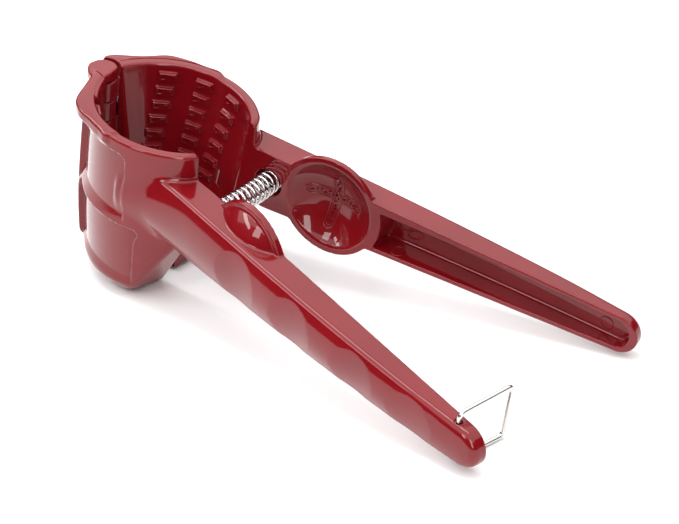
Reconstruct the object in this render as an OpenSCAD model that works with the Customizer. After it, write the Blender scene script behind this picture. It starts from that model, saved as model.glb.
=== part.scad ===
// Spring-opened nut cracker: two cast levers on one hinge pin, a return spring
// between them and a wire hanging loop. Each lever is half of a ribbed cup, half of
// a small bowl and a handle. The tool lies on its foot edge and its handle ends.

/* [Opening and rest pose] */
// Angle of each inner face to the split plane when the spring holds the tool open
open_half = 10; // [0:0.5:12]
// Half of the gap that stays between the inner faces when they are parallel
half_gap = 2.8; // [2:0.1:4]
// Tilt of the tool as it lies on a table
rest_tilt = 11.65; // [0:0.05:20]
// Height of the hinge axis foot above the table
rest_lift = 7.552; // [0:0.001:20]
// Distance from the hinge axis to the origin, along the tool
origin_x = 88.4; // [60:0.1:110]

/* [Cup] */
// Height of the cup from foot to rim
cup_h = 54; // [48:1:60]
// Radius of the cup's inner wall
bore_r = 26.4; // [24:0.1:28]
// Radius of the cup's outer wall at its belly
wall_r = 30.4; // [29:0.1:31]
// Distance of the bore centre from the hinge, along the lever
bore_u = 27.1; // [26:0.1:29]
// Distance of the bore centre behind the split line
bore_v = 10.3; // [9:0.1:11]
// Thickness of the closed bottom
floor_t = 9; // [8:0.5:12]
// Height of the rim flange
rim_t = 3.3; // [2:0.1:5]

/* [Handles] */
// Length of a lever from the hinge axis to its end
lever_len = 178.8; // [165:0.1:190]
// Thickness of the top face of the handle at the cup
handle_t = 9.5; // [8:0.1:11]
// How far the outer face bulges beyond the top face
handle_bulge = 2.3; // [1:0.1:3]
// Depth of the hollow in the inner side of the handle, beside the bowl
hollow_d = 8.2; // [3:0.1:8.4]

/* [Small bowls] */
// Distance of the bowl centre from the hinge, along the lever
bowl_u = 78.5; // [76:0.1:82]
// Outer radius of the bowl ring
ring_r = 16; // [15:0.1:17]
// Radius of the bowl's mouth
bowl_r = 13.9; // [12:0.1:14]
// Depth of the bowl
bowl_d = 6.6; // [5:0.1:8]

/* [Hinge] */
// Radius of the hinge lugs
lug_r = 4.4; // [4:0.1:5]
// Radius of the hinge pin
pin_r = 1.8; // [1.5:0.05:2]
// Pitch of the hinge lugs
lug_pitch = 6.9; // [6.5:0.1:7]

/* [Spring] */
// Outer radius of the spring
spring_r = 3.7; // [3:0.1:4]
// Radius of the spring wire
spring_wire = 0.44; // [0.4:0.02:0.6]
// Number of coils
spring_coils = 17; // [10:1:18]
// Distance of the spring from the hinge, along the lever
spring_u = 57.8; // [57:0.1:59]

/* [Hanging loop] */
// Radius of the loop's wire
loop_wire = 0.8; // [0.6:0.05:1]
// Reach of the loop from its hole
loop_reach = 18.5; // [14:0.5:24]
// Distance of the loop's hole from the hinge, along the lever
loop_u = 169.6; // [165:0.1:172]

/* [Hidden] */
red = [0.52, 0.05, 0.08];
steel = [0.78, 0.78, 0.8];
$fn = 96;
eps = 0.01;
gap = 0.35;

// Height of the handle's top and bottom faces above the foot, at distance u
function top_z(u) = cup_h - 6.0 - 0.0393 * u;
function bot_z(u) = cup_h - 29.4 + 0.0265 * u;
function mid_z(u) = (top_z(u) + bot_z(u)) / 2;
end_r = 6.2;
end_u = lever_len - end_r;
// Half height of the handle at distance u, closing to a round end
function end_k(u) = u <= end_u ? 1 : sqrt(max(0, 1 - pow((u - end_u) / end_r, 2)));
function half_h(u) = (top_z(u) - bot_z(u)) / 2 * max(0.12, end_k(u));
// Thickness of the handle's top face at distance u
function face_t(u) = handle_t - 0.00033 * pow(max(0, u - 46.6), 2) + 0.002 * (u - 46.6);

// How far the outer face stands out beyond the top face at distance u
function bulge(u) = handle_bulge + 3.6 * pow(max(0, (62 - u) / 24), 2) - 0.0003 * pow(max(0, u - 110), 2);

handle_us = [36, 40, 44, 49, 55, 62, 70, 85, 100, 115, 130, 145, 160, end_u, end_u + 2.4, end_u + 4.3, end_u + 5.6, end_u + 6.2];
spring_z = mid_z(spring_u) - 0.2;
bowl_z = mid_z(bowl_u) + 0.5;
ball_e = (bowl_r * bowl_r - bowl_d * bowl_d) / (2 * bowl_d);
ball_r = ball_e + bowl_d;
back_d = bowl_d + 2.4;
back_e = (ring_r * ring_r - back_d * back_d) / (2 * back_d);
back_r = back_e + back_d;
lug_low = floor_t + 0.3;
pocket_d = 4.5;

// Section of the handle across its length: inner edge, top edge, bulged outer side
function section(u) =
    let (h = half_h(u), m = mid_z(u), t = face_t(u), b = bulge(u) * min(1, end_k(u) + 0.15))
    [
        [u, half_gap, m - h],
        [u, half_gap, m + h],
        [u, half_gap + t - 0.8, m + h],
        [u, half_gap + t + 0.2, m + h * 0.93],
        [u, half_gap + t + b * 0.8, m + h * 0.5],
        [u, half_gap + t + b, m],
        [u, half_gap + t + b * 0.8, m - h * 0.5],
        [u, half_gap + t + 0.2, m - h * 0.93],
        [u, half_gap + t - 0.8, m - h]
    ];

// Solid through a list of rings of points, each ring with the same count
module loft(rings) {
    n = len(rings[0]);
    k = len(rings);
    points = [for (r = rings) each r];
    first = [for (i = [n - 1:-1:0]) i];
    last = [for (i = [0:n - 1]) (k - 1) * n + i];
    sides = [
        for (j = [0:k - 2], i = [0:n - 1])
            each [
                [j * n + i, j * n + (i + 1) % n, (j + 1) * n + i],
                [j * n + (i + 1) % n, (j + 1) * n + (i + 1) % n, (j + 1) * n + i]
            ]
    ];
    polyhedron(points, concat([last], [first], sides), convexity = 6);
}

// Ring sector about the hinge axis
module hinge_sector(r1, r2, z1, z2, a1, a2) {
    translate([0, 0, z1])
        rotate([0, 0, a1])
            rotate_extrude(angle = a2 - a1)
                translate([r1, 0])
                    square([r2 - r1, z2 - z1]);
}

// Moves a shape to the bore's own axis
module at_bore() {
    translate([bore_u, -bore_v, 0]) children();
}

// Outer shape of the cup: belly, rim flange and rounded foot
module cup_outer() {
    at_bore()
        rotate_extrude()
            polygon([
                [0, 0], [wall_r - 5.2, 0], [wall_r - 3.3, 0.8], [wall_r - 1.9, 2.4],
                [wall_r - 1.0, 5], [wall_r - 0.3, 11], [wall_r, 19], [wall_r + 0.1, 28],
                [wall_r - 0.3, 40], [wall_r - 0.9, cup_h - rim_t - 1], [wall_r - 0.5, cup_h - rim_t],
                [wall_r - 0.5, cup_h], [0, cup_h]
            ]);
}

// Pointed ear of the rim flange beside the hinge
module rim_ear() {
    translate([0, 0, cup_h - rim_t])
        linear_extrude(rim_t)
            polygon([[-1.6, 2.8], [-0.6, 5.4], [1.8, 7.9], [4.2, 10.9], [7.8, 14.6], [11.1, 17.6], [13.4, 18.9], [16.6, 19.5], [21, 19.3], [21, 2.8]]);
}

// Radius of the bore at height z, narrowing downwards
bore_taper = 0.12;
function bore_at(z) = bore_r - bore_taper * (cup_h - z);
knee_z = 21;

// Space inside the cup: slightly tapered wall above, steep cone below
module cup_space() {
    at_bore() {
        translate([0, 0, knee_z]) cylinder(r1 = bore_at(knee_z), r2 = bore_at(cup_h + 2), h = cup_h + 2 - knee_z);
        translate([0, 0, floor_t]) cylinder(r1 = bore_at(knee_z) - 5.5, r2 = bore_at(knee_z), h = knee_z - floor_t + eps);
    }
}

// Sunken panel in the outer wall between two angles about the bore
module wall_panel(z1, z2, a1, a2) {
    at_bore()
        rotate([0, 0, a1])
            rotate_extrude(angle = a2 - a1)
                polygon([[wall_r - 1.3, z1], [wall_r + 2, z1 - 6.6], [wall_r + 2, z2 + 0.6], [wall_r - 1.3, z2]]);
}

// Pads inside the cup: [angle of the top pad, turn per pad, depth of the top pad, pitch, count]
pad_cols = [[118, 1.8, 3.6, 4.8, 7], [92.2, 1.5, 3.8, 4.9, 7], [66, 2.95, 4, 5.7, 6]];

// Raised pads inside the cup, three columns
module teeth() {
    for (c = pad_cols, k = [0:c[4] - 1]) {
        z = cup_h - c[2] - c[3] * k;
        at_bore()
            rotate([0, 0, c[0] + c[1] * k])
                translate([bore_at(z) - 0.8, -3.05, z - 1.6])
                    cube([1.6, 6.1, 3.2]);
    }
}

// The casting without its hinge: half cup, handle, bowl and pockets
module lever_casting() {
    difference() {
        union() {
            difference() {
                union() {
                    difference() {
                        cup_outer();
                        wall_panel(30.5, cup_h - rim_t - 1.6, 70, 118);
                        wall_panel(8, 25, 63, 113);
                        // the front below the handle slants back towards the foot
                        translate([52.3, -60, 26])
                            rotate([0, 28, 0])
                                translate([0, 0, -60])
                                    cube([60, 120, 60]);
                    }
                    rim_ear();
                    loft([for (u = handle_us) section(u)]);
                    // wall above the root of the handle, up to the rim
                    translate([0, 0, 40])
                        linear_extrude(cup_h - 40)
                            polygon([[40, half_gap], [40, 16.6], [43.5, 14.6], [47.6, 12.2], [50.6, 8], [52.2, 5], [52.4, half_gap]]);
                }
                cup_space();
            }
            intersection() {
                teeth();
                cup_outer();
            }
            // bowl ring and its domed back
            translate([bowl_u, half_gap, bowl_z])
                rotate([-90, 0, 0])
                    cylinder(r = ring_r, h = 2.2);
            intersection() {
                translate([bowl_u, half_gap - back_e, bowl_z]) sphere(r = back_r);
                translate([bowl_u - 20, half_gap, bowl_z - 20]) cube([40, 20, 40]);
            }
        }
        // everything behind the split plane
        translate([-60, half_gap - 80, -10]) cube([260, 80, 90]);
        bowl_space();
        spring_pocket();
        handle_hollow();
        finger_dents();
    }
    bowl_ribs();
}

module bowl_space() {
    translate([bowl_u, half_gap - ball_e, bowl_z]) sphere(r = ball_r);
}

// Two crossed ribs in the bottom of the bowl
module bowl_ribs() {
    intersection() {
        union() {
            translate([bowl_u - 1.3, half_gap, bowl_z - 9.5]) cube([2.6, 9, 19]);
            translate([bowl_u - 9.5, half_gap, bowl_z - 1.1]) cube([19, 9, 2.2]);
        }
        difference() {
            translate([bowl_u, half_gap - ball_e, bowl_z]) sphere(r = ball_r + 0.3);
            translate([bowl_u, half_gap - ball_e, bowl_z]) sphere(r = ball_r - 0.8);
        }
    }
}

module spring_pocket() {
    translate([spring_u, half_gap - 1, spring_z])
        rotate([-90, 0, 0])
            cylinder(r = spring_r + 0.7, h = pocket_d + 1);
}

// Long hollow in the inner side of the handle, getting shallower towards the end
module handle_hollow() {
    w = 1.5;
    u1 = bowl_u + 8;
    u2 = end_u - 1;
    um = 132;
    difference() {
        intersection() {
            translate([0, half_gap + 12, 0])
                rotate([90, 0, 0])
                    linear_extrude(14)
                        union() {
                            polygon([[u1, bot_z(u1) + w], [u2, bot_z(u2) + w], [u2, top_z(u2) - w], [um, top_z(um) - w], [u1, top_z(um) - w]]);
                            translate([u2, mid_z(u2)]) circle(r = (top_z(u2) - bot_z(u2)) / 2 - w);
                        }
            linear_extrude(80)
                polygon([[u1, half_gap - 1], [u2 + 8, half_gap - 1], [u2 + 8, half_gap + hollow_d - 4.6], [95, half_gap + hollow_d], [u1, half_gap + hollow_d]]);
        }
        translate([bowl_u, half_gap - 3, bowl_z])
            rotate([-90, 0, 0])
                cylinder(r = ring_r + 1.4, h = 20);
    }
}

// Shallow finger dents in the outer face of the handle
module finger_dents() {
    for (u = [84.6, 108.4, 133.6, 155.5])
        translate([u, half_gap + face_t(u) + bulge(u) + 23.2, 0])
            cylinder(r = 24, h = 80);
}

// Lug k, counted from the bottom
module lug(k, r, grow = 0) {
    translate([0, 0, lug_low + lug_pitch * k - grow])
        cylinder(r = r, h = lug_pitch - 0.3 + 2 * grow);
}

near_lugs = [0, 2, 4];
far_lugs = [1, 3, 5];
lug_top = lug_low + lug_pitch * 6;

// Hinge features of one casting: its own lugs, room for the other's
module with_lugs(own, other, cap) {
    difference() {
        union() {
            difference() {
                union() {
                    children();
                    // cheek that ties the lugs to the wall of the cup
                    translate([0, 0, lug_low])
                        linear_extrude(cup_h - lug_low - 0.2)
                            polygon([[-3.6, half_gap], [-2.6, 4.6], [0.2, 7.2], [3.2, 8.6], [6.4, 8.6], [6.4, half_gap]]);
                }
                for (k = other) lug(k, lug_r + gap + 0.05, 0.3);
                if (!cap)
                    translate([0, 0, lug_top - 0.3])
                        cylinder(r = lug_r + gap + 0.25, h = 20);
            }
            for (k = own) {
                lug(k, lug_r);
                translate([-2.6, 0, lug_low + lug_pitch * k])
                    cube([6.4, half_gap + 1, lug_pitch - 0.3]);
            }
            if (cap)
                translate([0, 0, lug_top + 0.05]) {
                    cylinder(r = lug_r + 0.2, h = cup_h - lug_top - 0.05);
                    translate([-3.2, 0, 0]) cube([7.2, half_gap + 1, cup_h - lug_top - 0.05]);
                }
        }
        // pin hole, blind under the cap
        translate([0, 0, -1])
            cylinder(r = cap ? pin_r + 0.01 : pin_r + 0.06, h = lug_top + 1 - 0.05);
    }
}

// Puts a lever at its open angle
module open_far() {
    rotate([0, 0, open_half]) children();
}

module open_near() {
    mirror([0, 1, 0]) rotate([0, 0, open_half]) children();
}

// Lays the whole tool on the table
module rest() {
    translate([-origin_x, 0, rest_lift]) rotate([0, rest_tilt, 0]) children();
}

module near_lever() {
    color(red)
        rest()
            open_near()
                difference() {
                    with_lugs(near_lugs, far_lugs, true) lever_casting();
                    // room under the floor for the far lever's tongue
                    hinge_sector(13.6, 36.6, -1, 6.4, -8, 23);
                    // vertical hole for the hanging loop
                    translate([loop_u, half_gap + 2.6, 10]) cylinder(r = loop_wire + 0.25, h = 60);
                }
}

module far_lever() {
    color(red)
        rest()
            open_far()
                union() {
                    with_lugs(far_lugs, near_lugs, false) lever_casting();
                    // tongue that bridges the gap under the cup
                    hinge_sector(14, 36.2, 0.6, 6, -18, 6);
                }
}

module hinge_pin() {
    color(steel)
        rest()
            translate([0, 0, lug_low])
                cylinder(r = pin_r, h = lug_top - lug_low - 0.15);
}

// Centre line of the spring: an arc square to both pockets
half_span = (half_gap + pocket_d - spring_wire - 0.05) * cos(open_half) + spring_u * sin(open_half);
seat_x = spring_u * cos(open_half) - (half_gap + pocket_d - spring_wire - 0.05) * sin(open_half);
arc_r = half_span / sin(max(open_half, 0.1));
steps = spring_coils * 14;

// Point on the arc with offsets: r1 along the tool, r2 upwards
function arc_pt(t, r1, r2) =
    let (a = t * max(open_half, 0.1))
    [seat_x - arc_r * cos(max(open_half, 0.1)) + (arc_r + r1) * cos(a), (arc_r + r1) * sin(a), spring_z + r2];

function coil_ring(i) =
    let (
        t = 2 * i / steps - 1,
        turn = 360 * spring_coils * i / steps,
        c = spring_r - spring_wire
    )
    [for (j = [7:-1:0])
        let (w = 45 * j, r = c + spring_wire * cos(w))
        arc_pt(t + spring_wire * sin(w) / half_span, r * cos(turn), r * sin(turn))];

module return_spring() {
    color(steel)
        rest()
            loft([for (i = [0:steps]) coil_ring(i)]);
}

// The loop is drawn flat in the vertical plane square to the handle, as [v, z] points
loop_v = half_gap + 2.6;
loop_top = top_z(loop_u) + 2.6;
loop_bot = bot_z(loop_u) - 1.2;
loop_bend = 1.9;
loop_pts = [
    [loop_v, loop_top - 6.4],
    [loop_v, loop_top],
    [loop_v - loop_reach, loop_top + 1.2],
    [loop_v - loop_reach + 0.8, loop_bot],
    [loop_v, loop_bot],
    [loop_v, loop_bot + 5.6]
];

function unit(p) = p / norm(p);

// Points of a rounded corner at b between a and c
function bend(a, b, c, r) =
    let (p = unit(a - b), q = unit(c - b), half = acos(p * q) / 2, d = r / tan(half))
    let (m = b + unit(p + q) * r / sin(half), s = b + p * d, e = b + q * d)
    [for (i = [0:5])
        let (w = i / 5, v = (s - m) * (1 - w) + (e - m) * w)
        m + unit(v) * r];

loop_line = concat(
    [loop_pts[0]],
    [for (i = [1:4]) each bend(loop_pts[i - 1], loop_pts[i], loop_pts[i + 1], loop_bend)],
    [loop_pts[5]]
);

// Ring of the wire at point i of the loop
function wire_ring(i) =
    let (
        n = len(loop_line),
        t = unit(loop_line[min(i + 1, n - 1)] - loop_line[max(i - 1, 0)]),
        p = loop_line[i]
    )
    [for (j = [11:-1:0])
        let (w = 30 * j)
        [loop_u + loop_wire * sin(w), p[0] - t[1] * loop_wire * cos(w), p[1] + t[0] * loop_wire * cos(w)]];

module hang_loop() {
    color(steel)
        rest()
            open_near()
                loft([for (i = [0:len(loop_line) - 1]) wire_ring(i)]);
}

near_lever();
far_lever();
hinge_pin();
return_spring();
hang_loop();
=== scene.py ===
import math

import bpy
import numpy as np
from mathutils import Matrix, Vector


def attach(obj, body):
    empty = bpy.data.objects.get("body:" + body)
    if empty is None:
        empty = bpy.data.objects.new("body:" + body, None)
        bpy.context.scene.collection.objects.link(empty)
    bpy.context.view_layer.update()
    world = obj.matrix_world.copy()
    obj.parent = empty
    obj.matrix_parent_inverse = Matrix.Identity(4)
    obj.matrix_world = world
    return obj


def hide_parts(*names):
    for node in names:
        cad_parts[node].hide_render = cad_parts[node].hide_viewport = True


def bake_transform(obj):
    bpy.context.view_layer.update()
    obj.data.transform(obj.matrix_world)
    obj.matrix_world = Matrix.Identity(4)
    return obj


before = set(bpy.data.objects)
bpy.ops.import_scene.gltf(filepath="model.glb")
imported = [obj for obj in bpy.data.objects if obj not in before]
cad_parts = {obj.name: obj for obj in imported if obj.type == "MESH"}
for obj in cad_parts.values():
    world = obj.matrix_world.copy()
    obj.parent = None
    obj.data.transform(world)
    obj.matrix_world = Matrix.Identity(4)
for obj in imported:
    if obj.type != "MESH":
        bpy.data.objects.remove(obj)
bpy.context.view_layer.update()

# ---------------------------------------------------------------- the tool's own numbers, mm
TILT = math.radians(11.65)
LIFT = 7.552
ORIGIN_X = 88.4
HALF_OPEN = math.radians(10)
GAP = 2.8
CUP_H = 54.0
BORE_U, BORE_V, BORE_R, TAPER = 27.1, -10.3, 26.4, 0.12
LEVER_END = 178.8
END_R = 6.2
END_U = LEVER_END - END_R
BOWL_U, RING_R, BOWL_R, BOWL_D = 78.5, 16.0, 13.9, 6.6
LUG_R, PIN_R, LUG_LOW, LUG_PITCH = 4.4, 1.8, 9.3, 6.9
LUG_TOP = LUG_LOW + 6 * LUG_PITCH
SPRING_U, SPRING_R, SPRING_WIRE, COILS = 57.8, 3.7, 0.44, 17
POCKET_D = 4.5  # depth of the spring's pockets
LOOP_U, LOOP_WIRE, LOOP_REACH, LOOP_BEND = 169.6, 0.78, 18.5, 1.9
LOOP_V = GAP + 2.6  # middle of the loop's holes
RIM_T = 3.2  # thickness of the rim flange
FLOOR_T = 9.0  # thickness of the cup's bottom
KNEE_Z = 21.0  # height where the bore starts to close in
WALL_T = 1.5  # walls of the handle's hollow
LUG_GAP = 0.3  # play between neighbouring lugs
LUG_HALF = (LUG_PITCH - LUG_GAP) / 2


def top_z(u):
    return CUP_H - 6.0 - 0.0393 * u


def bot_z(u):
    return CUP_H - 29.4 + 0.0265 * u


def mid_z(u):
    return (top_z(u) + bot_z(u)) / 2


def face_t(u):
    return 9.5 - 0.00033 * np.maximum(0, u - 46.6) ** 2 + 0.002 * (u - 46.6)


def bulge(u):
    return 2.3 + 3.6 * (np.maximum(0, (62 - u) / 24)) ** 2 - 0.0003 * np.maximum(0, u - 110) ** 2


def bore_at(z):
    return BORE_R - TAPER * (CUP_H - z)


BOWL_Z = mid_z(BOWL_U) + 0.5
SPRING_Z = mid_z(SPRING_U) - 0.2


def rest(p):
    """Hinge frame in mm (hinge axis up, +X along the handles) to the row frame in metres."""
    p = np.asarray(p, float)
    c, s = math.cos(TILT), math.sin(TILT)
    x, y, z = p[..., 0], p[..., 1], p[..., 2]
    return np.stack([c * x + s * z - ORIGIN_X, y, -s * x + c * z + LIFT], -1) / 1000


def open_lever(p, side):
    """Lever frame (u along the inner face, v outwards) to the hinge frame; side is 1 for far, -1 for near."""
    p = np.asarray(p, float)
    c, s = math.cos(HALF_OPEN), math.sin(HALF_OPEN)
    u, v, z = p[..., 0], p[..., 1], p[..., 2]
    return np.stack([c * u - s * v, side * (s * u + c * v), z], -1)


# ---------------------------------------------------------------- rounded solids as distance fields
def both(a, b, r):
    """Intersection, its edge rounded to radius r."""
    return np.minimum(-r, np.maximum(a, b)) + np.sqrt(np.maximum(a + r, 0) ** 2 + np.maximum(b + r, 0) ** 2)


def join(a, b, r):
    """Union, its inner corner filled to radius r."""
    return np.maximum(r, np.minimum(a, b)) - np.sqrt(np.maximum(r - a, 0) ** 2 + np.maximum(r - b, 0) ** 2)


def cut(a, b, r):
    return both(a, -b, r)


def box2(x, y, hx, hy, r):
    qx, qy = np.abs(x) - hx + r, np.abs(y) - hy + r
    return np.sqrt(np.maximum(qx, 0) ** 2 + np.maximum(qy, 0) ** 2) + np.minimum(np.maximum(qx, qy), 0) - r


def smooth(x, a, b):
    t = np.clip((x - a) / (b - a), 0, 1)
    return t * t * (3 - 2 * t)


def spline(points, n=6):
    """Closed Catmull-Rom line through the points."""
    p = np.array(points, float)
    a, b, c, d = np.roll(p, 1, 0), p, np.roll(p, -1, 0), np.roll(p, -2, 0)
    out = []
    for i in range(n):
        t = i / n
        out.append(
            0.5 * (2 * b + (c - a) * t + (2 * a - 5 * b + 4 * c - d) * t**2 + (3 * b - a - 3 * c + d) * t**3)
        )
    return np.stack(out, 1).reshape(-1, 2)


def polygon(x, y, points):
    """Signed distance to a closed polygon."""
    best = np.full(x.shape, 1e9)
    inside = np.zeros(x.shape, bool)
    n = len(points)
    for i in range(n):
        ax, ay = points[i]
        bx, by = points[(i + 1) % n]
        ex, ey = bx - ax, by - ay
        wx, wy = x - ax, y - ay
        t = np.clip((wx * ex + wy * ey) / (ex * ex + ey * ey), 0, 1)
        best = np.minimum(best, (wx - ex * t) ** 2 + (wy - ey * t) ** 2)
        if ay != by:
            crosses = ((ay > y) != (by > y)) & (wx < ex * wy / ey)
            inside ^= crosses
    d = np.sqrt(best)
    return np.where(inside, -d, d)


RIM_NEAR = spline(
    [
        (-3.6, -1.0), (-3.0, 1.6), (-0.6, 4.2), (1.4, 5.6), (3.2, 7.6), (5.3, 10.8), (7.6, 14.2),
        (9.6, 16.4), (11.6, 17.7), (15.1, 18.9), (20.0, 19.1), (25.0, 19.3), (30.0, 18.9),
        (30, 5), (20, -4), (8, -4), (-1, -2.5),
    ]
)
RIM_FAR = spline(
    [
        (-2.9, 4.2), (-3.3, 5.6), (-2.2, 7.5), (0.2, 9.3), (2.9, 11.0), (5.4, 12.8), (7.7, 14.9),
        (9.8, 17.0), (11.8, 18.3), (14.4, 19.1), (18.0, 19.7), (23.0, 19.9), (30.0, 19.1),
        (30, 5), (20, -4), (8, -4), (-1, -1),
    ]
)
# top pad of each column: angle, turn per pad, depth, pitch, count
PAD_COLS = [(118.0, 1.8, 3.6, 4.8, 7), (92.2, 1.5, 3.8, 4.9, 7), (66.0, 2.95, 4.0, 5.7, 6)]


def handle(u, v, z):
    mid = mid_z(u)
    half = (top_z(u) - bot_z(u)) / 2
    along = np.maximum(u - END_U, 0)
    end = np.sqrt((along / END_R) ** 2 + ((z - mid) / np.maximum(half, 1)) ** 2) - 1
    end = end * np.minimum(half, END_R)
    sides = np.where(u > END_U, end, np.abs(z - mid) - half)
    sides = np.maximum(sides, 34 - u)
    s = np.clip((z - mid) / half, -1.15, 1.15)
    b = bulge(u) * np.sqrt(np.clip(1 - (along / END_R) ** 2 * 0.8, 0.15, 1))
    outer = GAP + face_t(u) + b * (1 - s * s)
    slope = 2 * b * s / half
    out = (v - outer) / np.sqrt(1 + slope * slope)
    # finger dents
    for k, (du, depth) in enumerate(((84.6, 0.85), (108.4, 0.85), (133.6, 0.75), (155.5, 0.6))):
        ru, rz = 8.6, half * 0.98
        e = ((u - du) / ru) ** 2 + ((z - mid + 1.2) / rz) ** 2
        out = out + depth * np.clip(1 - e, 0, 1) ** 1.15
    r = 1.1 + 0.9 * smooth(u, 150, 175)
    return both(sides, out, r)


def floor_v(u):
    """How deep the floor of the handle's hollow lies."""
    return GAP + face_t(u) - 0.4


def channel(u, v, z):
    """The hollow of the handle: flat floor, near-square walls, its mouth following the bowl ring."""
    end = END_U - 1
    ue = np.minimum(u, end)
    low = bot_z(ue) + WALL_T
    high = np.minimum(top_z(ue), top_z(132)) - WALL_T
    mid, half = (low + high) / 2, (high - low) / 2
    half = half - 0.03 * (v - GAP)
    across = np.where(u > end, np.sqrt(np.maximum(u - end, 0) ** 2 + (z - mid) ** 2), np.abs(z - mid)) - half
    ring = (RING_R + 1.4) - np.sqrt((u - BOWL_U) ** 2 + (z - BOWL_Z) ** 2) + 0.04 * (v - GAP)
    flat = both(across, np.maximum(ring, 90 - u), 0.8)
    return both(flat, v - floor_v(u), 0.9)


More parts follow.
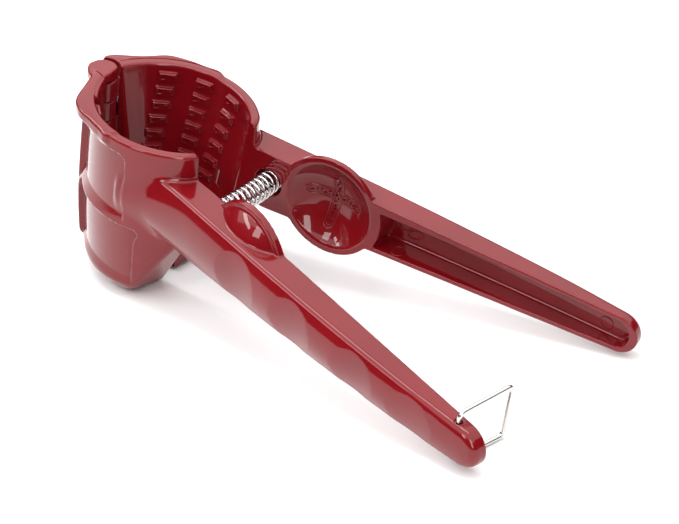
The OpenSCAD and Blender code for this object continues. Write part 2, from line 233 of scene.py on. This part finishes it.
def lever(u, v, z, near):
    """Distance to one casting, in the lever frame."""
    lo, hi = u.min(), u.max()
    d = np.full(u.shape, 50.0)
    cup_here, handle_here = lo < 66, hi > 30
    if cup_here:
        bu, bv = u - BORE_U, v - BORE_V
        rr = np.sqrt(bu * bu + bv * bv)
        ang = np.degrees(np.arctan2(bv, bu))
        belly = 30.45 - np.where(z > 24, 0.00106, 0.0022) * (z - 24) ** 2
        wall = rr - belly
        # sunken panels, deeper towards the hinge
        depth = 0.6 + 1.6 * np.clip((ang - 66) / 52, 0, 1)
        for a1, a2, z1, z2, corner in ((70.5, 130, 29.6, 49.6, 2.6), (63.5, 128, 7.2, 25.6, 1.6)):
            am = (a1 + a2) / 2
            arc = (ang - am) * math.pi / 180 * 30.4
            half_arc = (a2 - a1) / 2 * math.pi / 180 * 30.4
            lean = 0.18 * (z - z1) / 20 * 6
            if z1 < 20:
                lean = -0.16 * (z - z1) / 20 * 6 - 2.2 * smooth(z, 20.5, 24.5)
            flat = box2(arc - lean * 0.5, z - (z1 - 8 + z2) / 2, half_arc, (z2 - z1 + 8) / 2, corner)
            ledge = (z1 - z - 3.1 * (rr - (belly - depth))) / 3.26
            pocket = both(flat, np.maximum(ledge, belly - depth - rr), 0.25)
            wall = cut(wall, pocket, 0.4)
        d = both(wall, -z, 5.2)
        d = both(d, z - CUP_H, 0.9)
        front = np.maximum(((u - 52.3) + 0.5317 * (26 - z)) * 0.883, u - 52.4)
        d = both(d, front, 2.2)
        if lo < 32:
            outline = polygon(u, v, RIM_NEAR if near else RIM_FAR)
            flange = both(outline, np.abs(z - CUP_H + RIM_T / 2) - RIM_T / 2, 0.8)
            d = join(d, flange, 1.1)
        if lo < 8:
            back_side = [(-3.6, GAP - 1), (-3.6, GAP), (-2.6, 4.6), (0.2, 7.2)]
            cheek = polygon(u, v, back_side + [(3.2, 8.6), (6.4, 8.6), (6.4, GAP - 1)])
            if near:
                cheek = both(cheek + 2.2 * smooth(z, 36, 44), np.abs(z - 30.2) - 20.9, 0.6)
            else:
                cheek = both(cheek, np.abs(z - 31.4) - 22.1, 0.6)
            d = join(d, cheek, 1.0)
    if handle_here:
        d = join(d, handle(u, v, z), 1.5)
    if cup_here:
        low = 17.0 + (bore_at(KNEE_Z) - 17.0) * (z - FLOOR_T) / (KNEE_Z - FLOOR_T)
        bore = np.where(z > KNEE_Z, rr - bore_at(z), (rr - low) * 0.9)
        bore = both(bore, FLOOR_T - z, 3.0)
        d = cut(d, bore, 0.85)
    bowl_here = hi > 58 and lo < 100
    if bowl_here:
        ru = np.sqrt((u - BOWL_U) ** 2 + (z - BOWL_Z) ** 2)
        back_d = BOWL_D + 2.4
        back_e = (RING_R**2 - back_d**2) / (2 * back_d)
        dome = np.sqrt(ru**2 + (v - GAP + back_e) ** 2) - (back_e + back_d)
        ring = both(ru - RING_R, v - GAP - 2.1, 0.6)
        d = join(d, join(ring, both(dome, GAP - 2 - v, 0.1), 0.5), 0.5)
    edge = 0.45 + 0.55 * (1 - smooth(u, 52, 58))
    d = both(d, GAP - v, edge)
    if bowl_here:
        ball_e = (BOWL_R**2 - BOWL_D**2) / (2 * BOWL_D)
        depth_in = (ball_e + BOWL_D) - np.sqrt(ru**2 + (v - GAP + ball_e) ** 2)
        d = cut(d, -depth_in, 0.6)
    if lo < 66 and hi > 50:
        pocket = np.sqrt((u - SPRING_U) ** 2 + (z - SPRING_Z) ** 2) - (SPRING_R + 0.7)
        pocket = both(pocket, v - GAP - POCKET_D, 0.5)
        d = cut(d, pocket, 0.35)
    if hi > 90:
        d = cut(d, channel(u, v, z), 0.4)
    if lo < 8:
        rho = np.sqrt(u * u + v * v)
        mine, other = ((0, 2, 4), (1, 3, 5)) if near else ((1, 3, 5), (0, 2, 4))
        for k in other:
            zc = LUG_LOW + LUG_PITCH * k + LUG_HALF
            d = cut(d, both(rho - LUG_R - 0.4, np.abs(z - zc) - 3.6, 0.05), 0.15)
        if not near:
            d = cut(d, both(rho - LUG_R - 0.75, LUG_TOP - LUG_GAP - z, 0.05), 0.3)
        for k in mine:
            zc = LUG_LOW + LUG_PITCH * k + LUG_HALF
            web = np.maximum(np.abs(u - 0.6) - 3.2, np.abs(v - 1.9) - 1.9)
            web = np.maximum(web, np.abs(z - zc) - LUG_HALF)
            knuckle = both(rho - LUG_R, np.abs(z - zc) - LUG_HALF, 0.3)
            d = join(d, join(knuckle, web, 0.3), 0.35)
        if near:
            nose = join(rho - LUG_R - 0.1, np.maximum(polygon(u, v, RIM_NEAR), GAP - v), 2.2)
            low_z = LUG_TOP + 0.05
            nose = both(nose, np.abs(z - (low_z + CUP_H) / 2) - (CUP_H - low_z) / 2, 0.8)
            nose = cut(nose, rr - bore_at(z) + 1.0, 0.6)
            d = join(d, nose, 0.3)
        hole = both(rho - PIN_R - 0.06, z - LUG_TOP + 0.05, 0.05)
        d = cut(d, hole, 0.15)
    if near:
        if lo < 40:
            rho, th = np.sqrt(u * u + v * v), np.degrees(np.arctan2(v, u))
            sector = np.maximum(np.abs(rho - 25.1) - 11.5, (np.abs(th - 7.5) - 15.5) * 0.35)
            d = cut(d, both(sector, z - 6.4, 0.1), 0.4)
        if hi > 164:
            rho = np.sqrt((u - LOOP_U) ** 2 + (v - LOOP_V) ** 2)
            d = cut(d, rho - LOOP_WIRE - 0.25, 0.25)
    elif lo < 40:
        rho, th = np.sqrt(u * u + v * v), np.degrees(np.arctan2(v, u))
        sector = np.maximum(np.abs(rho - 25.1) - 11.1, (np.abs(th + 6) - 12) * 0.35)
        tongue = both(sector, np.abs(z - 3.3) - 2.7, 0.4)
        d = join(d, tongue, 0.6)
    return d


def surface(field, axes, slab=14):
    """Closed mesh of a distance field on a grid: one point per crossed cell, pulled onto the surface."""
    xs, ys, zs = axes
    nx, ny, nz = len(xs), len(ys), len(zs)
    values = np.empty((nx, ny, nz), np.float32)
    yy, zz = np.meshgrid(ys, zs, indexing="ij")
    yy, zz = yy.ravel(), zz.ravel()
    for i in range(0, nx, slab):
        part = xs[i : i + slab]
        x = np.repeat(part, ny * nz)
        block = field(x, np.tile(yy, len(part)), np.tile(zz, len(part)))
        values[i : i + len(part)] = block.reshape(-1, ny, nz)
    values[np.abs(values) < 1e-5] = 1e-5
    inside = values < 0
    count = np.zeros((nx - 1, ny - 1, nz - 1), np.int8)
    for a in (0, 1):
        for b in (0, 1):
            for c in (0, 1):
                count += inside[a : nx - 1 + a, b : ny - 1 + b, c : nz - 1 + c]
    cells = np.argwhere((count > 0) & (count < 8))
    number = np.full(count.shape, -1, np.int64)
    number[tuple(cells.T)] = np.arange(len(cells))
    corners = [(a, b, c) for a in (0, 1) for b in (0, 1) for c in (0, 1)]
    at = {k: values[cells[:, 0] + k[0], cells[:, 1] + k[1], cells[:, 2] + k[2]] for k in corners}
    place = {
        k: np.stack([axes[i][cells[:, i] + k[i]] for i in range(3)], -1)
        for k in corners
    }
    total, hits = np.zeros((len(cells), 3)), np.zeros(len(cells))
    for k in corners:
        for axis in range(3):
            if k[axis]:
                continue
            m = tuple(1 if i == axis else k[i] for i in range(3))
            cross = (at[k] < 0) != (at[m] < 0)
            t = np.where(cross, at[k] / np.where(cross, at[k] - at[m], 1), 0)[:, None]
            total += np.where(cross[:, None], place[k] + (place[m] - place[k]) * t, 0)
            hits += cross
    points = total / hits[:, None]
    step = np.stack([np.gradient(axes[i])[cells[:, i]] for i in range(3)], -1)

    def by_slab(p):
        out = np.empty(len(p))
        for i in range(0, nx, slab):
            m = (cells[:, 0] >= i) & (cells[:, 0] < i + slab)
            if m.any():
                out[m] = field(p[m, 0], p[m, 1], p[m, 2])
        return out

    def gradient(p, h=0.03):
        return np.stack(
            [by_slab(p + np.eye(3)[k] * h) - by_slab(p - np.eye(3)[k] * h) for k in range(3)], -1
        ) / (2 * h)

    home = points.copy()
    for _ in range(2):
        g = gradient(points)
        g2 = np.maximum((g * g).sum(1), 0.15)
        points = points - g * (by_slab(points) / g2)[:, None]
        points = home + np.clip(points - home, -0.75 * step, 0.75 * step)
    normals = gradient(points, 0.06)
    normals /= np.maximum(np.linalg.norm(normals, axis=1), 1e-6)[:, None]
    faces = []
    for axis in range(3):
        a, b = [k for k in range(3) if k != axis]
        low = [slice(None)] * 3
        high = [slice(None)] * 3
        low[axis], high[axis] = slice(0, -1), slice(1, None)
        flips = inside[tuple(low)] != inside[tuple(high)]
        e = np.argwhere(flips)
        for k in (a, b):
            e = e[(e[:, k] > 0) & (e[:, k] < inside.shape[k] - 1)]
        first_in = inside[tuple(e.T)]
        quad = []
        for da, db in ((1, 1), (0, 1), (0, 0), (1, 0)):
            q = e.copy()
            q[:, a] -= da
            q[:, b] -= db
            quad.append(number[tuple(q.T)])
        quad = np.stack(quad, -1)
        turn = first_in if axis != 1 else ~first_in
        quad[~turn] = quad[~turn][:, ::-1]
        faces.append(quad)
    return points, np.concatenate(faces), normals


def steps(*spans):
    """Grid coordinates from (start, end, step) spans that follow each other."""
    out = []
    for a, b, s in spans:
        n = max(1, round((b - a) / s))
        out.append(np.linspace(a, b, n, endpoint=False))
    return np.concatenate(out + [[spans[-1][1]]])


def made(name, points, faces, material, normals=None):
    """A smooth-shaded mesh object; normals, where given, are its shading normals."""
    mesh = bpy.data.meshes.new(name)
    mesh.from_pydata(np.asarray(points).tolist(), [], faces)
    mesh.validate()
    mesh.polygons.foreach_set("use_smooth", np.ones(len(mesh.polygons), bool))
    if normals is not None:
        mesh.normals_split_custom_set_from_vertices(np.asarray(normals).tolist())
    obj = bpy.data.objects.new(name, mesh)
    bpy.context.scene.collection.objects.link(obj)
    mesh.materials.append(material)
    return obj


def island(rings, capped):
    """A closed solid from rings of points, with its own shading normals.

    Its ends get a face each if it is capped; otherwise the last ring joins the first.
    """
    n = len(rings[0])
    points = np.concatenate(rings)
    faces = [
        (i * n + j, i * n + (j + 1) % n, (i + 1) * n + (j + 1) % n, (i + 1) * n + j)
        for i in range(len(rings) - 1)
        for j in range(n)
    ]
    last = len(rings) - 1
    if not capped:
        faces += [(last * n + j, last * n + (j + 1) % n, (j + 1) % n, j) for j in range(n)]
    else:
        faces.append(tuple(range(n - 1, -1, -1)))
        faces.append(tuple(last * n + j for j in range(n)))
    normals, volume = np.zeros_like(points), 0.0
    for f in faces:
        p = points[list(f)]
        area = sum(np.cross(p[k] - p[0], p[k + 1] - p[0]) for k in range(1, len(f) - 1)) / 2
        volume += float(area @ p.mean(0)) / 3
        normals[list(f)] += area
    if volume < 0:
        faces, normals = [f[::-1] for f in faces], -normals
    return points, faces, normals / np.maximum(np.linalg.norm(normals, axis=1), 1e-9)[:, None]


def rounded(hx, hy, r, n=3):
    """Outline of a rectangle with rounded corners."""
    out = []
    for k, (sx, sy) in enumerate(((1, 1), (-1, 1), (-1, -1), (1, -1))):
        for i in range(n + 1):
            w = math.radians(90 * (k + i / n))
            out.append((sx * (hx - r) + r * math.cos(w), sy * (hy - r) + r * math.sin(w)))
    return np.array(out)


def raised(place, a, b, hx, hy, r, height, bevel=0.14, root=-0.5):
    """A small raised block with a rounded outline; place maps (along, up, height) onto the casting."""
    shoulder = max(root + 0.1, height - 2.2 * bevel)
    levels = ((0, root), (0, shoulder), (0.7 * bevel, height - 0.4 * bevel), (bevel, height))
    rings = []
    for inset, h in levels:
        o = rounded(hx - inset, hy - inset, max(r - inset, 0.04))
        rings.append(place(o[:, 0] + a, o[:, 1] + b, np.full(len(o), h)))
    return island(rings, capped=True)


def bead_line(place, path, radius, sides=8):
    """A thin round bead laid along a closed path of (along, up) points, half sunk."""
    t = np.roll(path, -1, 0) - np.roll(path, 1, 0)
    t /= np.linalg.norm(t, axis=1)[:, None]
    side = np.stack([-t[:, 1], t[:, 0]], -1)
    rings = []
    for c, n in zip(path, side):
        w = np.arange(sides) * 2 * math.pi / sides
        q = c + n * (radius * np.cos(w))[:, None]
        rings.append(place(q[:, 0], q[:, 1], radius * np.sin(w)))
    return island(rings, capped=False)


def stadium(cx, cy, half, r, lean, n=7):
    """Closed outline of a long rib, leaning by lean radians from upright."""
    out = []
    for sign in (1, -1):
        for i in range(n):
            w = math.pi * i / (n - 1) + (0 if sign > 0 else math.pi)
            out.append((r * math.cos(w), r * math.sin(w) + sign * (half - r)))
        straight = np.linspace(half - r, -(half - r), 12)[1:-1] * sign
        out += [(-sign * r, y) for y in straight]
    out = np.array(out)
    c, s = math.cos(lean), math.sin(lean)
    return np.stack([cx + c * out[:, 0] - s * out[:, 1], cy + s * out[:, 0] + c * out[:, 1]], -1)


# what stands on each tooth pad: along, up, half sizes, height
PAD_BITS = [
    (0.0, 0.98, 2.7, 0.36, 1.25), (2.32, 0.05, 0.36, 1.2, 1.15), (1.5, -0.75, 0.75, 0.32, 1.05),
    (0.15, -0.1, 0.32, 0.42, 0.95), (-1.4, 0.3, 0.8, 0.42, 1.15), (-2.35, -0.25, 0.34, 0.8, 1.05),
]


def details():
    """The small raised features of a casting: tooth pads, bowl ribs and ejector marks."""
    parts = []
    for a0, turn, z0, pitch, count in PAD_COLS:
        for k in range(count):
            z1 = CUP_H - z0 - pitch * k

            def on_bore(a, b, h, z1=z1, mid=a0 + turn * k):
                z = z1 + b
                r = bore_at(z) - h
                w = np.radians(mid) + a / bore_at(z1)
                return np.stack([BORE_U + r * np.cos(w), BORE_V + r * np.sin(w), z], -1)

            parts.append(raised(on_bore, 0, 0, 3.15, 1.72, 0.75, 0.5, 0.25))
            for a, b, hx, hy, h in PAD_BITS:
                parts.append(raised(on_bore, a, b, hx, hy + 0.06, 0.26, h, 0.24, 0.2))
    ball_e = (BOWL_R**2 - BOWL_D**2) / (2 * BOWL_D)

    def on_bowl(a, b, h):
        r = ball_e + BOWL_D
        d = np.stack([a, np.sqrt(r * r - a * a - b * b), b], -1)
        d *= ((r - h) / r)[:, None]
        return d + np.array([BOWL_U, GAP - ball_e, BOWL_Z])

    for cx, cy, half, lean in ((-0.65, -0.85, 9.4, -0.09), (-0.75, 0.1, 9.2, math.pi / 2 - 0.07)):
        parts.append(bead_line(on_bowl, stadium(cx, cy, half, 1.6, lean), 0.3))
        parts.append(bead_line(on_bowl, stadium(cx, cy, half - 0.8, 0.8, lean), 0.18))
        c, s = math.cos(lean), math.sin(lean)
        for k in range(13):
            y = (k - 6) * (half - 1.6) / 6.2
            x = 0.45 * math.sin(2.4 * k + lean)
            a, b = cx + c * x - s * y, cy + s * x + c * y
            parts.append(raised(on_bowl, a, b, 0.42 + 0.12 * math.sin(k * 1.7), 0.4, 0.36, 0.7, 0.34))

    def on_floor(a, b, h):
        return np.stack([a, floor_v(a) - h, b], -1)

    def on_wall(a, b, h):
        return np.stack([a, b, bot_z(a) + WALL_T + h + 0.03 * (b - GAP)], -1)

    marks = ((on_floor, 99.9, 35.7, 2.9), (on_wall, 101.2, 5.9, 2.4), (on_floor, 167.6, 33.9, 2.2))
    for place, a, b, r in marks:
        w = np.arange(28) * 2 * math.pi / 28
        rings = [
            place(a + q * np.cos(w), b + q * np.sin(w), np.full(28, h))
            for q, h in (
                (r, -0.4), (r, 0.1), (r - 0.12, 0.2), (r - 0.3, 0.22), (r - 0.42, 0.12), (r - 0.42, -0.4)
            )
        ]
        parts.append(island(rings, capped=False))
    return parts


def casting(near):
    """Points, faces and shading normals of one whole casting, in the rest pose."""
    k = 1.0
    us = steps(
        (-7.4, 58, 0.45 * k), (58, 98, 0.52 * k), (98, 108, 0.8 * k),
        (108, 162, 1.0 * k), (162, 180, 0.52 * k),
    )
    if near:
        vs = steps((-5.3, 21.4, 0.45 * k))
    else:
        vs = steps((-9.4, -4.9, 0.9 * k), (-4.9, 21.4, 0.45 * k))
    zs = steps((-0.9, 27, 0.5 * k), (27, 55, 0.45 * k))
    points, faces, normals = surface(lambda x, y, z: lever(x, y, z, near), (us, vs, zs))
    faces = faces.tolist()
    for p, f, n in details():
        faces += [[i + len(points) for i in c] for c in f]
        points, normals = np.concatenate([points, p]), np.concatenate([normals, n])
    side = -1 if near else 1
    flat = rest(open_lever(points, side))
    tips = rest(open_lever(points + normals, side))
    turned = tips - flat
    turned /= np.linalg.norm(turned, axis=1)[:, None]
    if near:
        faces = [f[::-1] for f in faces]
    return flat, faces, turned


# ---------------------------------------------------------------- materials
def nodes_of(name):
    """A new material with a Principled shader: material, node tree, shader."""
    m = bpy.data.materials.new(name)
    m.use_nodes = True
    t = m.node_tree
    t.nodes.clear()
    out = t.nodes.new("ShaderNodeOutputMaterial")
    shader = t.nodes.new("ShaderNodeBsdfPrincipled")
    t.links.new(shader.outputs[0], out.inputs[0])
    return m, t, shader


def noise(t, scale, detail, rough, vector):
    n = t.nodes.new("ShaderNodeTexNoise")
    n.inputs["Scale"].default_value = scale
    n.inputs["Detail"].default_value = detail
    n.inputs["Roughness"].default_value = rough
    t.links.new(vector, n.inputs["Vector"])
    return n


def ramp(t, value, stops):
    r = t.nodes.new("ShaderNodeValToRGB")
    r.color_ramp.elements[0].position, r.color_ramp.elements[0].color = stops[0][0], (*stops[0][1], 1)
    r.color_ramp.elements[1].position, r.color_ramp.elements[1].color = stops[-1][0], (*stops[-1][1], 1)
    for p, c in stops[1:-1]:
        r.color_ramp.elements.new(p).color = (*c, 1)
    t.links.new(value, r.inputs[0])
    return r


def spread(t, value, low, high):
    m = t.nodes.new("ShaderNodeMapRange")
    m.inputs["To Min"].default_value = low
    m.inputs["To Max"].default_value = high
    t.links.new(value, m.inputs["Value"])
    return m


def lacquer():
    """Deep wine-red clear-coated lacquer: faint colour drift, fine orange peel, some grain in the coat."""
    m, t, s = nodes_of("wine_lacquer")
    where = t.nodes.new("ShaderNodeTexCoord").outputs["Object"]
    drift = noise(t, 42, 4, 0.55, where)
    dark, middle, light = (0.168, 0.0028, 0.0060), (0.188, 0.0032, 0.0068), (0.208, 0.0040, 0.0080)
    colour = ramp(t, drift.outputs["Fac"], [(0.3, dark), (0.5, middle), (0.72, light)])
    t.links.new(colour.outputs[0], s.inputs["Base Color"])
    speck = noise(t, 700, 2, 0.5, where)
    t.links.new(spread(t, speck.outputs["Fac"], 0.26, 0.40).outputs[0], s.inputs["Roughness"])
    s.inputs["Specular IOR Level"].default_value = 0.06
    s.inputs["Coat Weight"].default_value = 1.0
    s.inputs["Coat IOR"].default_value = 1.45
    smear = noise(t, 110, 3, 0.6, where)
    t.links.new(spread(t, smear.outputs["Fac"], 0.012, 0.05).outputs[0], s.inputs["Coat Roughness"])
    peel = noise(t, 420, 2, 0.4, where)
    bump = t.nodes.new("ShaderNodeBump")
    bump.inputs["Strength"].default_value = 0.05
    bump.inputs["Distance"].default_value = 0.0001
    t.links.new(peel.outputs["Fac"], bump.inputs["Height"])
    wave = noise(t, 70, 2, 0.4, where)
    wide = t.nodes.new("ShaderNodeBump")
    wide.inputs["Strength"].default_value = 0.08
    wide.inputs["Distance"].default_value = 0.0002
    t.links.new(wave.outputs["Fac"], wide.inputs["Height"])
    t.links.new(bump.outputs[0], wide.inputs["Normal"])
    t.links.new(wide.outputs[0], s.inputs["Coat Normal"])
    t.links.new(bump.outputs[0], s.inputs["Normal"])
    return m


def steel(name, light, rough, streak):
    """Bright drawn wire: fine grain and uneven polish."""
    m, t, s = nodes_of(name)
    where = t.nodes.new("ShaderNodeTexCoord").outputs["Object"]
    tone = noise(t, 260, 4, 0.6, where)
    dark = tuple(c * 0.86 for c in light)
    t.links.new(ramp(t, tone.outputs["Fac"], [(0.3, dark), (0.65, light)]).outputs[0], s.inputs["Base Color"])
    s.inputs["Metallic"].default_value = 1.0
    grain = noise(t, streak, 3, 0.5, where)
    t.links.new(spread(t, grain.outputs["Fac"], rough * 0.7, rough * 1.5).outputs[0], s.inputs["Roughness"])
    bump = t.nodes.new("ShaderNodeBump")
    bump.inputs["Strength"].default_value = 0.12
    bump.inputs["Distance"].default_value = 0.00005
    t.links.new(grain.outputs["Fac"], bump.inputs["Height"])
    t.links.new(bump.outputs[0], s.inputs["Normal"])
    return m


red = lacquer()
spring_steel = steel("spring_steel", (0.80, 0.80, 0.80), 0.16, 1500)
loop_steel = steel("loop_steel", (0.72, 0.71, 0.68), 0.20, 1200)
pin_steel = steel("pin_steel", (0.60, 0.60, 0.61), 0.28, 900)


# ---------------------------------------------------------------- wire pieces
def tube(centres, radius, sides):
    """Round wire along a line of points, its ends domed."""
    c = np.asarray(centres, float)
    t = np.gradient(c, axis=0)
    t /= np.linalg.norm(t, axis=1)[:, None]
    n = np.zeros_like(c)
    first = np.cross(t[0], [0.3, 0.9, 0.2])
    n[0] = first / np.linalg.norm(first)
    for i in range(1, len(c)):
        k = n[i - 1] - t[i] * (n[i - 1] @ t[i])
        n[i] = k / np.linalg.norm(k)
    b = np.cross(t, n)
    rings, spots = [], []
    for a in (80, 55, 28):
        f = math.radians(a)
        rings.append((0, c[0] - t[0] * radius * math.sin(f), radius * math.cos(f)))
    rings += [(i, c[i], radius) for i in range(len(c))]
    for a in (28, 55, 80):
        f = math.radians(a)
        rings.append((len(c) - 1, c[-1] + t[-1] * radius * math.sin(f), radius * math.cos(f)))
    w = np.arange(sides) * 2 * math.pi / sides
    for i, p, r in rings:
        spots.append(p + r * (np.cos(w)[:, None] * n[i] + np.sin(w)[:, None] * b[i]))
    points = np.concatenate(spots)
    faces = []
    for i in range(len(rings) - 1):
        for j in range(sides):
            k = (j + 1) % sides
            faces.append((i * sides + j, i * sides + k, (i + 1) * sides + k, (i + 1) * sides + j))
    faces.append(tuple(range(sides - 1, -1, -1)))
    faces.append(tuple((len(rings) - 1) * sides + j for j in range(sides)))
    return points, faces


def spring_line():
    """Centre line of the wire: a helix on an arc square to both pockets, its end coils closed up."""
    seat = GAP + POCKET_D - SPRING_WIRE - 0.08
    half_span = seat * math.cos(HALF_OPEN) + SPRING_U * math.sin(HALF_OPEN)
    seat_x = SPRING_U * math.cos(HALF_OPEN) - seat * math.sin(HALF_OPEN)
    arc = half_span / math.sin(HALF_OPEN)
    n = COILS * 36
    i = np.linspace(0, 1, n + 1)
    turn = 2 * math.pi * COILS * i
    # closed end coils: the pitch falls to little more than the wire there
    pitch = 0.42 + 0.58 * np.clip(np.minimum(i, 1 - i) * COILS / 1.1, 0, 1) ** 1.5
    t = np.concatenate([[0], np.cumsum((pitch[1:] + pitch[:-1]) / 2)])
    t = 2 * t / t[-1] - 1
    r = SPRING_R - SPRING_WIRE
    a = t * HALF_OPEN
    r1 = r * np.cos(turn)
    x = seat_x - arc * math.cos(HALF_OPEN) + (arc + r1) * np.cos(a)
    y = (arc + r1) * np.sin(a)
    return np.stack([x, y, SPRING_Z + r * np.sin(turn)], -1), seat_x


def loop_line():
    """Centre line of the loop: five legs with round bends, from hole to hole."""
    top, bottom = top_z(LOOP_U) + 2.6, bot_z(LOOP_U) - 1.2
    far = LOOP_V - LOOP_REACH
    corner = [
        (LOOP_V, top - 6.4), (LOOP_V, top), (far, top + 1.2),
        (far + 0.8, bottom), (LOOP_V, bottom), (LOOP_V, bottom + 5.6),
    ]
    corner = [np.array(p) for p in corner]
    line = [corner[0]]
    for i in range(1, 5):
        a, b, c = corner[i - 1], corner[i], corner[i + 1]
        p, q = (a - b) / np.linalg.norm(a - b), (c - b) / np.linalg.norm(c - b)
        half = math.acos(float(p @ q)) / 2
        m = b + (p + q) / np.linalg.norm(p + q) * LOOP_BEND / math.sin(half)
        s, e = b + p * LOOP_BEND / math.tan(half), b + q * LOOP_BEND / math.tan(half)
        a1, a2 = math.atan2(*(s - m)[::-1]), math.atan2(*(e - m)[::-1])
        turn = (a2 - a1 + math.pi) % (2 * math.pi) - math.pi
        for k in range(11):
            w = a1 + turn * k / 10
            line.append(m + LOOP_BEND * np.array([math.cos(w), math.sin(w)]))
    line.append(corner[5])
    line = np.array(line)
    # a few points more on the straight legs
    out = [line[0]]
    for a, b in zip(line, line[1:]):
        n = max(1, int(np.linalg.norm(b - a) / 2.2))
        out += [a + (b - a) * (k + 1) / n for k in range(n)]
    out = np.array(out)
    return np.stack([np.full(len(out), LOOP_U), out[:, 0], out[:, 1]], -1)


points, faces, normals = casting(near=True)
near_piece = made("near_casting", points, faces, red, normals)
points, faces, normals = casting(near=False)
far_piece = made("far_casting", points, faces, red, normals)
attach(near_piece, "near")
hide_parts("near_lever")
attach(far_piece, "far")
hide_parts("far_lever")

line, seat_x = spring_line()
points, faces = tube(line, SPRING_WIRE, 12)
coil = made("coil_spring", rest(points), faces, spring_steel)
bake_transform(coil)
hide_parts("return_spring")

points, faces = tube(loop_line(), LOOP_WIRE, 20)
faces = [f[::-1] for f in faces]
loop = made("wire_loop", rest(open_lever(points, -1)), faces, loop_steel)
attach(loop, "loop")
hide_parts("hang_loop")

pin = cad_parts["hinge_pin"]
pin.data.materials.clear()
pin.data.materials.append(pin_steel)


# ---------------------------------------------------------------- floor, light and camera
def pale_floor():
    m, t, s = nodes_of("pale_floor")
    where = t.nodes.new("ShaderNodeTexCoord").outputs["Object"]
    drift = noise(t, 3, 3, 0.5, where)
    tone = ramp(t, drift.outputs["Fac"], [(0.3, (0.94, 0.94, 0.94)), (0.7, (0.965, 0.965, 0.965))])
    t.links.new(tone.outputs[0], s.inputs["Base Color"])
    s.inputs["Roughness"].default_value = 0.75
    s.inputs["Specular IOR Level"].default_value = 0.15
    return m


size = 6.0
sheet = [(-size, -size, 0), (size, -size, 0), (size, size, 0), (-size, size, 0)]
floor = made("floor", sheet, [(0, 1, 2, 3)], pale_floor())


def area(name, place, aim, width, height, power):
    """A rectangular studio light at place, turned towards aim."""
    light = bpy.data.lights.new(name, "AREA")
    light.shape = "RECTANGLE"
    light.size, light.size_y = width, height
    light.energy = power
    obj = bpy.data.objects.new(name, light)
    bpy.context.scene.collection.objects.link(obj)
    obj.location = place
    obj.rotation_euler = (Vector(aim) - Vector(place)).to_track_quat("-Z", "Y").to_euler()
    return obj


area("overhead_softbox", (-0.15, 0.40, 1.0), (-0.15, 0.40, 0), 2.9, 2.7, 42)
area("crown_strip", (-0.30, -0.02, 0.98), (-0.30, -0.02, 0), 1.1, 0.11, 3.6)
area("tall_strip", (0.78, -0.80, 0.62), (0, 0, 0.05), 0.27, 0.85, 4.6)
area("short_strip", (-0.08, -0.90, 0.80), (0, 0, 0.05), 0.27, 0.40, 2.3)
area("left_strip", (-0.66, -0.46, 0.74), (0, 0, 0.05), 0.9, 0.10, 2.6)


world = bpy.data.worlds.new("studio")
bpy.context.scene.world = world
world.use_nodes = True
t = world.node_tree
t.nodes.clear()
out = t.nodes.new("ShaderNodeOutputWorld")
back = t.nodes.new("ShaderNodeBackground")
t.links.new(back.outputs[0], out.inputs[0])
back.inputs["Color"].default_value = (0.9, 0.93, 1.0, 1)
back.inputs["Strength"].default_value = 0.02

camera = bpy.data.cameras.new("camera")
camera.sensor_width = 36
camera.lens = 130.75
view = bpy.data.objects.new("camera", camera)
bpy.context.scene.collection.objects.link(view)
bpy.context.scene.camera = view
turn = Matrix.Rotation(TILT, 3, "Y")
right = turn @ Vector((0.75281, 0.65163, 0.09301))
up = turn @ Vector((-0.45261, 0.40985, 0.79193))
behind = turn @ Vector((0.47793, -0.63828, 0.60348))
place = Vector(rest((429.80, -446.37, 457.30)).tolist())
view.matrix_world = Matrix(
    (
        (right.x, up.x, behind.x, place.x),
        (right.y, up.y, behind.y, place.y),
        (right.z, up.z, behind.z, place.z),
        (0, 0, 0, 1),
    )
)
camera.clip_start, camera.clip_end = 0.05, 20
bpy.context.scene.view_settings.view_transform = "Standard"
